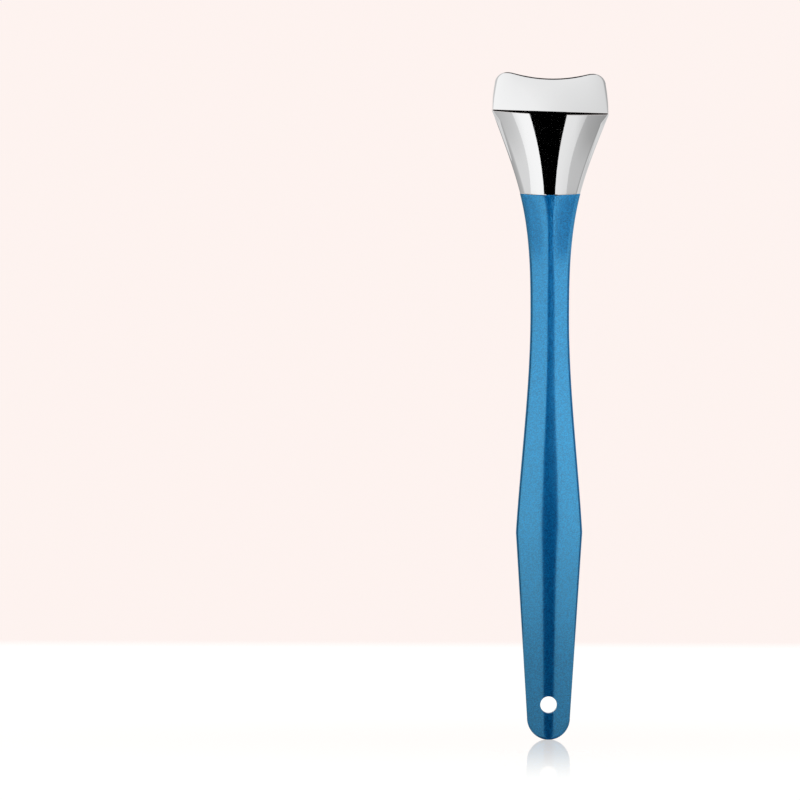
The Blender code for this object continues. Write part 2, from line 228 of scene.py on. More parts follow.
def crown_sharpness(z):
    """How ridged the crown is."""
    neck_fall = (LIP_SHARPNESS - JOINT_SHARPNESS) / (LIP_HEIGHT - HANDLE_LENGTH)
    return flow(z, (
        (0, TAIL_SHARPNESS, 0, 0),
        (PALM_HEIGHT, PALM_SHARPNESS, 0, 0),
        (WAIST_HEIGHT, WAIST_SHARPNESS, 0, 0),
        (THROAT_HEIGHT, THROAT_SHARPNESS, 0, 0),
        (HANDLE_LENGTH, JOINT_SHARPNESS, 0, neck_fall),
        (LIP_HEIGHT, LIP_SHARPNESS, neck_fall, 0),
    ))


def dip(z):
    """How far the middle of a line across the front hangs below its ends."""
    return flow(z, (
        (WAIST_HEIGHT, 0, 0, 0),
        (HANDLE_LENGTH, JOINT_DIP, 0, 0),
        (LIP_HEIGHT, LIP_DIP, 0, 0),
    ))


def lean(z):
    """How much a line across the head falls towards the right, per unit of width."""
    return flow(z, (
        (NECK_FOOT, 0, 0, 0),
        (BLADE_BASE, math.tan(CREASE_LEAN), 0, 0),
        (CREST_HEIGHT, math.tan(CREST_LEAN), 0, 0),
    ))


def front_round(z):
    """Radius of the rounded edges of the front."""
    return flow(z, (
        (TAIL_RADIUS, TAIL_ROUND, 0, 0),
        (PALM_HEIGHT, FRONT_ROUND, 0, 0),
        (LIP_HEIGHT - SIDE_ROUND_REACH, FRONT_ROUND, 0, 0),
        (LIP_HEIGHT, SIDE_ROUND, 0, 0),
    ))


def ridge(u, sharpness):
    """Fall of a crown of height 1 from its middle (u = 0) to its side (u = 1)."""
    soft = 1 / sharpness
    return (np.hypot(u, soft) - soft) / (np.hypot(1, soft) - soft)


def ridge_slope(u, sharpness):
    """Slope of the ridge's fall at u."""
    soft = 1 / sharpness
    return u / np.hypot(u, soft) / (np.hypot(1, soft) - soft)


def round_drop(inset, radius):
    """How far a rounded edge falls away at a distance of inset from the rim."""
    short = np.maximum(radius - np.maximum(inset, 0), 0)
    return radius - np.sqrt(radius * radius - short * short)


def rim_distance(x, z, rim):
    """Distance in the front view from points to the rim, a line of (x, z) points."""
    rim = np.asarray(rim, float)
    start = rim[:-1]
    run = rim[1:] - start
    least = np.full(x.shape, math.inf)
    for (ax, az), (run_x, run_z) in zip(start, run):
        share = ((x - ax) * run_x + (z - az) * run_z) / (run_x * run_x + run_z * run_z)
        share = np.clip(share, 0, 1)
        least = np.minimum(least, np.hypot(x - ax - share * run_x, z - az - share * run_z))
    return least


def slab(name, x, z, back, front):
    """A closed mesh from grids of x, z and the depths of the back and front skins."""
    rows, cols = x.shape
    count = rows * cols
    skins = [np.stack((x, BACK_Y - depth, z), axis=-1).reshape(count, 3) for depth in (back, front)]
    index = np.arange(count).reshape(rows, cols)
    quads = np.stack((index[:-1, :-1], index[:-1, 1:], index[1:, 1:], index[1:, :-1]), axis=-1)
    quads = quads.reshape(-1, 4)
    rim = np.concatenate((index[0, :-1], index[:-1, -1], index[-1, :0:-1], index[:0:-1, 0]))
    after = np.roll(rim, -1)
    walls = np.stack((rim, after, after + count, rim + count), axis=-1)
    faces = np.concatenate((quads[:, ::-1], quads + count, walls)).tolist()
    mesh = bpy.data.meshes.new(name)
    mesh.from_pydata(np.concatenate(skins).tolist(), [], faces)
    return linked(name, mesh)


def linked(name, mesh):
    """An object for a mesh, with its faces pointing out."""
    shape = bmesh.new()
    shape.from_mesh(mesh)
    bmesh.ops.recalc_face_normals(shape, faces=shape.faces)
    shape.to_mesh(mesh)
    shape.free()
    made = bpy.data.objects.new(name, mesh)
    bpy.context.scene.collection.objects.link(made)
    return made


def prism(name, outline, depth_low, depth_high):
    """A plate from an outline of (x, z) points, between two depths from the back."""
    count = len(outline)
    low = [(x, BACK_Y - depth_low, z) for x, z in outline]
    high = [(x, BACK_Y - depth_high, z) for x, z in outline]
    walls = [((i + 1) % count, i, count + i, count + (i + 1) % count) for i in range(count)]
    mesh = bpy.data.meshes.new(name)
    mesh.from_pydata(low + high, [], [list(range(count)), list(range(2 * count - 1, count - 1, -1))] + walls)
    return linked(name, mesh)


def drum(name, x, z, depths_and_radii, sides):
    """A turned solid whose axis runs from back to front through x and z."""
    points = []
    for depth, radius in depths_and_radii:
        for i in range(sides):
            turn = 2 * math.pi * i / sides
            points.append((x + radius * math.cos(turn), BACK_Y - depth, z + radius * math.sin(turn)))
    last = len(points) - sides
    faces = [list(range(sides)), list(range(last, last + sides))]
    for low in range(0, last, sides):
        for i in range(sides):
            after = (i + 1) % sides
            faces.append((low + i, low + after, low + sides + after, low + sides + i))
    mesh = bpy.data.meshes.new(name)
    mesh.from_pydata(points, [], faces)
    return linked(name, mesh)


def boolean(target, tool, operation):
    """Cut the target with a tool, or join the tool to it, and delete the tool."""
    step = target.modifiers.new(tool.name, "BOOLEAN")
    step.operation = operation
    step.solver = "EXACT"
    step.object = tool
    depsgraph = bpy.context.evaluated_depsgraph_get()
    made = bpy.data.meshes.new_from_object(target.evaluated_get(depsgraph))
    target.modifiers.clear()
    target.data = made
    bpy.data.objects.remove(tool, do_unlink=True)


def columns(half, crown_steps):
    """Places across a row, from left to right, closer together on the rounded sides."""
    round_width = min(FRONT_ROUND, half / 2)
    turns = np.linspace(math.pi / 2, 0, ROUND_STEPS + 1)
    right = half - round_width * (1 - np.sin(turns))
    inner = np.linspace(-right[-1], right[-1], 2 * crown_steps + 1)
    return np.concatenate((-right[:-1], inner, right[-2::-1]))


def body_grid(z, half, crown_steps):
    """Grids of the handle or neck from the height and the half width of each row."""
    grid_x = np.array([columns(h, crown_steps) for h in half])
    grid_z = np.repeat(z[:, None], grid_x.shape[1], axis=1)
    wall = body_depth(grid_z) - crown_height(grid_z)
    u = grid_x / body_half_width(grid_z)
    flare = np.gradient(body_half_width(z), z)[:, None]
    inset = (body_half_width(grid_z) - np.abs(grid_x)) / np.hypot(1, flare)
    in_tail = grid_z < TAIL_RADIUS
    tail_inset = TAIL_RADIUS - np.hypot(grid_x, grid_z - TAIL_RADIUS)
    inset = np.where(in_tail, tail_inset, inset)
    fall = ridge(np.minimum(np.abs(u), 1), crown_sharpness(grid_z))
    front = body_depth(grid_z) - crown_height(grid_z) * fall
    front -= round_drop(inset, np.minimum(front_round(grid_z), FRONT_ROUND_SHARE * wall))
    back = round_drop(inset, np.minimum(BACK_ROUND, BACK_ROUND_SHARE * wall))
    sink = dip(grid_z) * (1 - u * u) + lean(grid_z) * grid_x
    return grid_x, grid_z - sink, back, front


def eased_end(z_end, toward):
    """Rows that round off an end of the body: heights and how far the skins are drawn in."""
    turns = np.linspace(0, math.pi / 2, LIP_ROUND_STEPS + 1)
    return z_end - toward * LIP_ROUND * (1 - np.sin(turns)), LIP_ROUND * (1 - np.cos(turns))


def strip(name, low, high, clearance):
    """Room for the tang, from one height to another."""
    half = TANG_WIDTH / 2 + clearance
    corner = half / 2
    outline = (
        (-half, low + corner), (-half + corner, low), (half - corner, low), (half, low + corner),
        (half, high - corner), (half - corner, high), (-half + corner, high), (-half, high - corner),
    )
    depth = BACK_WALL + FIT
    return prism(name, outline, depth - clearance, depth + TANG_THICKNESS + clearance)


def tongue(name, clearance, rise):
    """The blade's tongue, or with a clearance the slot for it."""
    top = BLADE_BASE + rise
    foot = BLADE_BASE - TONGUE_LENGTH - clearance
    top_half = TONGUE_TOP_WIDTH / 2 + clearance
    foot_half = TONGUE_END_WIDTH / 2 + clearance
    outline = (
        (-foot_half, foot), (foot_half, foot), (top_half, BLADE_BASE),
        (top_half, top), (-top_half, top), (-top_half, BLADE_BASE),
    )
    depth = BACK_WALL + FIT
    return prism(name, outline, depth - clearance, depth + TONGUE_THICKNESS + clearance)


def pin_hole(name, x, z):
    """The room for a pin, open at the back."""
    radius = PIN_DIAMETER / 2 + SEAM
    return drum(name, x, z, ((-OVERRUN, radius), (PIN_LENGTH + SEAM, radius)), PIN_SIDES)


def pin_places():
    """Name, x and z of each pin."""
    blade_z = BLADE_BASE - BLADE_PIN_DROP
    return {
        "blade_pin_left": (-BLADE_PIN_SPACING / 2, blade_z),
        "blade_pin_right": (BLADE_PIN_SPACING / 2, blade_z),
        "neck_pin": (0, NECK_FOOT + NECK_PIN_RISE),
        "handle_pin": (0, HANDLE_LENGTH - HANDLE_PIN_DROP),
    }


def build_handle():
    """The lacquered handle with its round tail and hanging hole."""
    turns = np.linspace(TAIL_START_ANGLE, math.pi / 2, TAIL_ROWS)
    tail_z = TAIL_RADIUS * (1 - np.cos(turns))
    tail_z[0] = 0
    top = JOINT_LINE - SEAM / 2
    steps = round((top - LIP_ROUND - TAIL_RADIUS) / HANDLE_ROW_STEP)
    rest_z = np.linspace(TAIL_RADIUS, top - LIP_ROUND, steps + 1)[1:-1]
    end_z, end_draw = eased_end(top, 1)
    z = np.concatenate((tail_z, rest_z, end_z))
    half = np.concatenate((TAIL_RADIUS * np.sin(turns), body_half_width(np.concatenate((rest_z, end_z)))))
    draw = np.concatenate((np.zeros(len(z) - len(end_z)), end_draw))[:, None]
    x, z, back, front = body_grid(z, half, HANDLE_CROWN_STEPS)
    handle = slab("handle_shell", x, z, back + draw, front - draw)

    lip = HANG_HOLE_LIP
    radius = HANG_HOLE_DIAMETER / 2
    front_at_hole = float(body_depth(HANG_HOLE_HEIGHT))
    profile = [(-OVERRUN, radius + lip)]
    for turn in np.linspace(0, math.pi / 2, HOLE_LIP_STEPS + 1):
        profile.append((lip * (1 - math.cos(turn)), radius + lip * (1 - math.sin(turn))))
    for turn in np.linspace(math.pi / 2, 0, HOLE_LIP_STEPS + 1):
        profile.append((front_at_hole - lip * (1 - math.cos(turn)), radius + lip * (1 - math.sin(turn))))
    profile.append((front_at_hole + OVERRUN, radius + lip))
    boolean(handle, drum("hole_cutter", 0, HANG_HOLE_HEIGHT, profile, HOLE_SIDES), "DIFFERENCE")

    foot = HANDLE_LENGTH - TANG_IN_HANDLE - SEAM
    boolean(handle, strip("pocket_cutter", foot, HANDLE_LENGTH + JOINT_OVERRUN, SEAM), "DIFFERENCE")
    boolean(handle, pin_hole("handle_pin_cutter", *pin_places()["handle_pin"]), "DIFFERENCE")
    return handle


def build_neck():
    """The flared neck, with its slot for the blade and its socket for the tang."""
    foot = JOINT_LINE + SEAM / 2
    foot_z, foot_draw = eased_end(foot, -1)
    steps = round((LIP_HEIGHT - foot - LIP_ROUND) / NECK_ROW_STEP)
    rest_z = np.linspace(foot + LIP_ROUND, LIP_HEIGHT, steps + 1)[1:]
    z = np.concatenate((foot_z[::-1], rest_z))
    draw = np.concatenate((foot_draw[::-1], np.zeros(len(rest_z))))[:, None]
    x, z, back, front = body_grid(z, body_half_width(z), NECK_CROWN_STEPS)
    neck = slab("neck_shell", x, z, back + draw, front - draw)
    boolean(neck, tongue("slot_cutter", SEAM, OVERRUN), "DIFFERENCE")
    top = HANDLE_LENGTH + TANG_IN_NECK + SEAM
    boolean(neck, strip("socket_cutter", HANDLE_LENGTH - JOINT_OVERRUN, top, SEAM), "DIFFERENCE")
    for name, (pin_x, pin_z) in pin_places().items():
        if name != "handle_pin":
            boolean(neck, pin_hole(f"{name}_cutter", pin_x, pin_z), "DIFFERENCE")
    return neck


def ear_columns():
    """The blade's top outline from the middle to the right: arrays of x and z."""
    start_x = EAR_WIDTH / 2 - EAR_ROUND * math.cos(EAR_START_ANGLE)
    hollow_end = DISH_SHARE * start_x
    slope = 2 * DISH_DEPTH / start_x
    x = np.linspace(0, start_x, DISH_STEPS + 1)
    hollow = DISH_DEPTH - slope * x * x / (2 * hollow_end)
    rise = slope * (start_x - x) ** 2 / (2 * (start_x - hollow_end))
    z = CREST_HEIGHT - np.where(x < hollow_end, hollow, rise)
    turns = np.linspace(math.pi / 2, EAR_START_ANGLE, EAR_STEPS + 1)[1:]
    ear_x = start_x + EAR_ROUND * np.cos(turns)
    ear_z = CREST_HEIGHT - EAR_ROUND + EAR_ROUND * np.sin(turns)
    return np.concatenate((x, ear_x)), np.concatenate((z, ear_z))


def build_blade():
    """The blade: a fillet that leaves the neck, the dished facet and the tongue."""
    right_x, right_z = ear_columns()
    top_x = np.concatenate((-right_x[:0:-1], right_x))
    top_z = np.concatenate((right_z[:0:-1], right_z))
    u = top_x / (EAR_WIDTH / 2)

    foot_z = LIP_HEIGHT + SEAM - LIP_DIP * (1 - u * u)
    foot_front = LIP_DEPTH - LIP_CROWN * ridge(np.abs(u), LIP_SHARPNESS)
    edge_front = EDGE_DEPTH - EDGE_CROWN * u * u
    width = BLADE_BASE - foot_z
    spread = (BLADE_BASE_WIDTH - LIP_WIDTH) / LIP_WIDTH / FIT
    side_rise = LIP_CROWN * ridge_slope(np.abs(u), LIP_SHARPNESS) * np.abs(u) * spread
    land_slope = -math.tan(LAND_ANGLE) - side_rise
    ease = LAND_EASE_SHARE
    reach = width * ease / 2 / (top_z - BLADE_BASE)
    land_drop = width * land_slope * (1 - ease)
    crease_front = (foot_front + land_drop + reach * edge_front) / (1 + reach)
    facet_slope = -(crease_front - edge_front) / (top_z - BLADE_BASE)

    edge_turns = np.linspace(0, math.pi / 2, ROUND_STEPS + 1)
    edge_shares = 1 - EDGE_ROUND * (1 - np.sin(edge_turns)) / BLADE_HEIGHT
    shares = np.concatenate((np.linspace(0, edge_shares[0], BLADE_ROWS + 1), edge_shares[1:]))
    x_rows = []
    z_rows = []
    front_rows = []
    share_rows = []
    bevel = np.concatenate((np.linspace(0, ease, EASE_ROWS + 1), np.linspace(1 - ease, 1, EASE_ROWS + 1)))
    for t in bevel[:-1]:
        into_land = min(t, ease) ** 2 / (2 * ease) + max(min(t, 1 - ease) - ease, 0)
        out_of_land = max(t - 1 + ease, 0)
        turn = out_of_land ** 2 / (2 * ease)
        half = (LIP_WIDTH + (BLADE_BASE_WIDTH - LIP_WIDTH) * t) / 2
        x_rows.append(u * half)
        z_rows.append(foot_z + width * t)
        run = land_slope * (into_land + out_of_land - turn) + facet_slope * turn
        front_rows.append(foot_front + width * run)
        share_rows.append(0)
    for share in shares:
        half = (BLADE_BASE_WIDTH - (BLADE_BASE_WIDTH - EAR_WIDTH) * share * share) / 2
        x_rows.append(u * half)
        z_rows.append(BLADE_BASE + share * (top_z - BLADE_BASE))
        front_rows.append(crease_front * (1 - share) + edge_front * share)
        share_rows.append(share)
    x = np.array(x_rows)
    z = np.array(z_rows)
    share = np.array(share_rows)[:, None]
    left_side = list(zip(x[:, 0], z[:, 0]))
    right_side = list(zip(x[:, -1], z[:, -1]))
    rim = left_side + list(zip(x[-1, 1:-1], z[-1, 1:-1])) + right_side[::-1]
    inset = rim_distance(x, z, rim)
    wall = (LIP_DEPTH - LIP_CROWN) * (1 - share) + edge_front * share
    back_radius = np.minimum(BACK_ROUND * (1 - share) + EDGE_ROUND * share, BACK_ROUND_SHARE * wall)
    front_radius = np.minimum(SIDE_ROUND * (1 - share) + EDGE_ROUND * share, FRONT_ROUND_SHARE * wall)
    front = np.array(front_rows) - round_drop(inset, front_radius)
    blade = slab("scraper_blade_shell", x, z - lean(z) * x, round_drop(inset, back_radius), front)
    boolean(blade, tongue("tongue_body", 0, EDGE_ROUND), "UNION")
    for name in ("blade_pin_left", "blade_pin_right"):
        boolean(blade, pin_hole(f"{name}_cutter", *pin_places()[name]), "DIFFERENCE")
    return blade


def build_pin(name, x, z):
    """A dowel whose outer end is ground flush with the back."""
    radius = PIN_DIAMETER / 2
    return drum(f"{name}_body", x, z, (
        (0, radius - PIN_CHAMFER),
        (PIN_CHAMFER, radius),
        (PIN_LENGTH - PIN_CHAMFER, radius),
        (PIN_LENGTH, radius - PIN_CHAMFER),
    ), PIN_SIDES)


# Finishes: how deep a bump is, and how bright the polished metal is
BUMP_HEIGHT = 0.01 * MM
CHROME_TONE = 0.92


def node(tree, kind, links=None, **settings):
    """A shader node. Links maps an input to a value, or to another node's output socket."""
    made = tree.nodes.new(kind)
    for key, value in settings.items():
        setattr(made, key, value)
    for key, value in (links or {}).items():
        if isinstance(value, bpy.types.NodeSocket):
            tree.links.new(value, made.inputs[key])
        else:
            made.inputs[key].default_value = value
    return made


def new_material(name):
    """An empty node material and its tree, with only the output."""
    made = bpy.data.materials.new(name)
    made.use_nodes = True
    tree = made.node_tree
    tree.nodes.clear()
    return made, tree


def surface(tree, shader):
    """Send a shader to the material's output."""
    output = tree.nodes.new("ShaderNodeOutputMaterial")
    tree.links.new(shader, output.inputs["Surface"])


def ramp(tree, factor, low, high, value_low, value_high):
    """A number that runs from one value to another as the factor crosses a range."""
    return node(tree, "ShaderNodeMapRange", {
        "Value": factor, "From Min": low, "From Max": high, "To Min": value_low, "To Max": value_high,
    }).outputs["Result"]


def chrome_material(name, tint):
    """Mirror plate with faint polishing haze and the slightest waviness."""
    made, tree = new_material(name)
    place = node(tree, "ShaderNodeTexCoord").outputs["Object"]
    haze = node(tree, "ShaderNodeTexNoise", {
        "Vector": place, "Scale": 420.0, "Detail": 5.0, "Roughness": 0.6,
    })
    lines = node(tree, "ShaderNodeMapping", {"Vector": place, "Scale": (9000.0, 9000.0, 700.0)})
    hairs = node(tree, "ShaderNodeTexNoise", {
        "Vector": lines.outputs["Vector"], "Scale": 1.0, "Detail": 2.0,
    })
    roughness = ramp(tree, haze.outputs["Fac"], 0.3, 0.75, 0.015, 0.05)
    colour = node(tree, "ShaderNodeMix", {
        "Factor": haze.outputs["Fac"],
        "A": (tint * 0.985, tint * 0.99, tint, 1),
        "B": (tint, tint, tint, 1),
    }, data_type="RGBA")
    bump = node(tree, "ShaderNodeBump", {
        "Height": hairs.outputs["Fac"], "Strength": 0.02, "Distance": BUMP_HEIGHT,
    })
    shader = node(tree, "ShaderNodeBsdfPrincipled", {
        "Base Color": colour.outputs["Result"], "Metallic": 1.0, "Roughness": roughness,
        "Normal": bump.outputs["Normal"],
    })
    surface(tree, shader.outputs["BSDF"])
    return made


def pearl_material():
    """Blue lacquer full of fine flakes: deep blue below, a cyan glint on top."""
    made, tree = new_material("blue_pearl_lacquer")
    place = node(tree, "ShaderNodeTexCoord").outputs["Object"]
    flakes = node(tree, "ShaderNodeTexVoronoi", {"Vector": place, "Scale": 7500.0})
    flake = node(tree, "ShaderNodeSeparateColor", {"Color": flakes.outputs["Color"]})
    clouds = node(tree, "ShaderNodeTexNoise", {
        "Vector": place, "Scale": 900.0, "Detail": 4.0, "Roughness": 0.7,
    })
    tone = node(tree, "ShaderNodeMix", {
        "Factor": 0.1,
        "A": ramp(tree, flake.outputs["Red"], 0.2, 0.8, 0.0, 1.0),
        "B": clouds.outputs["Fac"],
    }).outputs["Result"]
    colour = node(tree, "ShaderNodeMix", {
        "Factor": tone, "A": (0.0, 0.068, 0.245, 1), "B": (0.0, 0.202, 0.585, 1),
    }, data_type="RGBA")
    bump = node(tree, "ShaderNodeBump", {
        "Height": flake.outputs["Green"], "Strength": 0.15, "Distance": BUMP_HEIGHT,
    })
    shader = node(tree, "ShaderNodeBsdfPrincipled", {
        "Base Color": colour.outputs["Result"],
        "Metallic": 0.0,
        "IOR": 3.6,
        "Specular Tint": (0.19, 0.69, 1.0, 1),
        "Roughness": ramp(tree, clouds.outputs["Fac"], 0.3, 0.7, 0.09, 0.14),
        "Normal": bump.outputs["Normal"],
    })
    surface(tree, shader.outputs["BSDF"])
    return made


def steel_material(name, tone, roughness_low, roughness_high, grain):
    """Plain steel with a drawn grain along the tool."""
    made, tree = new_material(name)
    place = node(tree, "ShaderNodeTexCoord").outputs["Object"]
    drawn = node(tree, "ShaderNodeMapping", {"Vector": place, "Scale": grain})
    streaks = node(tree, "ShaderNodeTexNoise", {
        "Vector": drawn.outputs["Vector"], "Scale": 1.0, "Detail": 4.0,
    })
    colour = node(tree, "ShaderNodeMix", {
        "Factor": streaks.outputs["Fac"],
        "A": (tone * 0.82, tone * 0.82, tone * 0.84, 1),
        "B": (tone, tone, tone, 1),
    }, data_type="RGBA")
    bump = node(tree, "ShaderNodeBump", {
        "Height": streaks.outputs["Fac"], "Strength": 0.3, "Distance": BUMP_HEIGHT,
    })
    shader = node(tree, "ShaderNodeBsdfPrincipled", {
        "Base Color": colour.outputs["Result"], "Metallic": 1.0,
        "Roughness": ramp(tree, streaks.outputs["Fac"], 0.3, 0.7, roughness_low, roughness_high),
        "Normal": bump.outputs["Normal"],
    })
    surface(tree, shader.outputs["BSDF"])
    return made


def dress(piece, material, node_name):
    """Give a piece its material and its body, and hide the CAD node that it stands for."""
    piece.data.materials.clear()
    piece.data.materials.append(material)
    piece.data.shade_smooth()
    piece.data.set_sharp_from_angle(angle=SHARP_ANGLE)
    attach(piece, "root")
    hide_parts(node_name)


# The photograph's frame: places in pixels of an 800-pixel frame
FRAME_PIXELS = 800
TAIL_PIXEL = (548.4, 739.6)
PIXEL = 0.1799 * MM
ROLL = math.radians(-0.19)
LENS = 400.0
SENSOR = 36.0
CAMERA_DISTANCE = FRAME_PIXELS * PIXEL * LENS / SENSOR


def make_camera():
    """A level camera with a long lens, at the height and side offset of the photograph's."""
    data = bpy.data.cameras.new("camera")
    camera = bpy.data.objects.new("camera", data)
    bpy.context.scene.collection.objects.link(camera)
    data.sensor_width = SENSOR
    data.lens = LENS
    data.clip_start = CAMERA_DISTANCE / 100
    data.clip_end = CAMERA_DISTANCE * 10
    right = (TAIL_PIXEL[0] - FRAME_PIXELS / 2) * PIXEL
    down = (TAIL_PIXEL[1] - FRAME_PIXELS / 2) * PIXEL
    x = -right * math.cos(ROLL) + down * math.sin(ROLL)
    z = right * math.sin(ROLL) + down * math.cos(ROLL)
    camera.location = (x, -CAMERA_DISTANCE, z)
    camera.rotation_euler = (math.pi / 2, ROLL, 0)
    bpy.context.scene.camera = camera


# Floor, backdrop and lamp
FLOOR_NEAR = -3.0
FLOOR_FAR = 0.65
FLOOR_SIDE = 3.0
FLOOR_FADE = 0.07
FLOOR_COLOUR = (0.85, 0.85, 0.84, 1)
FLOOR_GLOW_COLOUR = (1, 1, 0.99, 1)
FLOOR_GLOW_STRENGTH = 1.12
FLOOR_GLOW_SHARE = 0.92
FLOOR_IOR = 1.45
MIRROR_ROUGHNESS = 0.03
MIRROR_SHARE = 0.56
MIRROR_REACH = 0.2
BACKDROP_COLOUR = (0.99, 0.896, 0.868, 1)
AMBIENT_STRENGTH = 0.2
LAMP_PLACE = (0.03, -0.155, 0.085)
LAMP_AIM = (0, 0, 0.085)
LAMP_SIZE = 0.06
LAMP_POWER = 0.034
LAMP_SPREAD = math.radians(75.0)

# Cards for reflections: azimuths in degrees from straight ahead of the tool, to the right.
# A table of levels has a row for each height, with a light level for each azimuth.
CARD_STEP = 3.0
CARD_ROWS = 8
FLAG_COLUMNS = 10
FLAG_ROWS = 40
# The far ones serve the head and the top of the handle
WALL_DISTANCE = 0.45
FLAG_DISTANCE = 0.448
FLAG_TOP = 0.3
HEAD_FLAG_HEIGHTS = (0.0, 0.07, 0.088, 0.1, 0.11, FLAG_TOP)
HEAD_FLAG_TURNS = (4.5, 4.0, -0.8, -0.8, -0.8, -0.8)
HEAD_FLAG_HALVES = (15.0, 15.0, 15.6, 15.2, 14.2, 14.2)
WHITE_END = 28.7
GREY_END = 50.0
WALL_HEIGHTS = (0.0, 0.03, 0.07, 0.1, 0.13)
LEFT_WHITE_AZIMUTHS = (-WHITE_END, -24, 0)
LEFT_WHITE_LEVELS = (
    (0.76, 0.94, 1.0), (0.78, 0.94, 1.02), (0.8, 0.93, 1.02), (0.96, 0.99, 1.0), (0.98, 1.0, 1.04),
)
LEFT_GREY_AZIMUTHS = (-150, -100, -GREY_END, -WHITE_END)
LEFT_GREY_LEVELS = (
    (0.3, 0.4, 0.4, 0.5), (0.3, 0.45, 0.44, 0.56), (0.35, 0.5, 0.52, 0.62),
    (0.4, 0.6, 0.64, 0.73), (0.4, 0.62, 0.66, 0.74),
)
RIGHT_WHITE_AZIMUTHS = (0, 22, WHITE_END)
RIGHT_WHITE_LEVELS = (
    (0.66, 0.58, 0.5), (0.68, 0.6, 0.5), (0.76, 0.66, 0.56), (0.88, 0.82, 0.77), (0.9, 0.83, 0.78),
)
RIGHT_GREY_AZIMUTHS = (WHITE_END, GREY_END)
RIGHT_GREY_LEVELS = ((0.36, 0.28), (0.38, 0.3), (0.43, 0.34), (0.56, 0.46), (0.57, 0.5))
RIGHT_LIGHT_AZIMUTHS = (GREY_END, 53, 62, 150)
RIGHT_LIGHT_LEVELS = (
    (0.28, 0.28, 0.6, 0.6), (0.3, 0.3, 0.65, 0.65), (0.34, 0.34, 0.75, 0.75),
    (0.46, 0.46, 0.8, 0.8), (0.5, 0.5, 0.8, 0.8),
)
HEADER_AZIMUTHS = (-60, 60)
HEADER_HEIGHTS = (0.155, 0.225)
# The dome over the head, about a point at HEAD_LEVEL: elevations in degrees
HEAD_LEVEL = 0.115
DOME_DISTANCE = 0.07
TOP_AZIMUTHS = (-120, -62, -GREY_END, -12, 12, GREY_END, 62, 120)
TOP_ELEVATIONS = (17.0, 68.0)
TOP_LEVELS = (0.6, 0.6, 0.99, 0.92, 0.82, 0.72, 0.4, 0.4)
CEILING_ELEVATIONS = (TOP_ELEVATIONS[1], 150.0)
# The near ones serve the handle
RING_DISTANCE = 0.05
RING_FLAG_DISTANCE = 0.0495
RING_AZIMUTHS = (-90, -40, 0, 40, 90)
RING_SHARES = (1.0, 1.0, 0.98, 1.07, 1.07)
RING_HEIGHTS = (0.0, 0.009, 0.019, 0.038, 0.06, 0.084)
RING_LEVELS = (0.5, 0.57, 0.8, 1.04, 1.13, 0.97)
REAR_AZIMUTHS = (90, 96, 108, 125, 180, 235, 252, 264, 270)
REAR_HEIGHTS = (0.014, RING_HEIGHTS[-1])
REAR_LEVELS = (1.0, 0.05, 0.05, 0.5, 0.75, 0.5, 0.05, 0.05, 1.0)
RING_FLAG_HEIGHTS = (0.0, 0.0365, 0.0375, 0.053, 0.0635, 0.072, 0.084)
RING_FLAG_TURNS = (0.8, 1.3, 2.0, 2.4, 3.4, 4.8, 5.4)
RING_FLAG_HALVES = (13.8, 15.2, 16.0, 17.2, 15.4, 14.6, 15.8)
FLOOR_REACHES = (0.0001, 0.0015, 0.003, 0.03, 0.12, 0.45)
FLOOR_LEVELS = (0.0, 0.05, 0.4, 0.45, 0.55, 0.75)
FLOOR_FLAG_REACHES = (FLOOR_REACHES[1], 0.06)
CARD_LIFT = 0.03 * MM
ALL_ROUND = (-180, 180)


def plane(name, corners):
    """A flat four-sided sheet of the stage."""
    mesh = bpy.data.meshes.new(name)
    mesh.from_pydata(corners, [], [(0, 1, 2, 3)])
    made = bpy.data.objects.new(name, mesh)
    bpy.context.scene.collection.objects.link(made)
    return made


def camera_white(tree):
    """1 for camera, glossy and transmission rays, else 0."""
    path = node(tree, "ShaderNodeLightPath")
    seen = node(tree, "ShaderNodeMath", {
        0: path.outputs["Is Camera Ray"], 1: path.outputs["Is Glossy Ray"],
    }, operation="MAXIMUM")
    return node(tree, "ShaderNodeMath", {
        0: seen.outputs["Value"], 1: path.outputs["Is Transmission Ray"],
    }, operation="MAXIMUM").outputs["Value"]


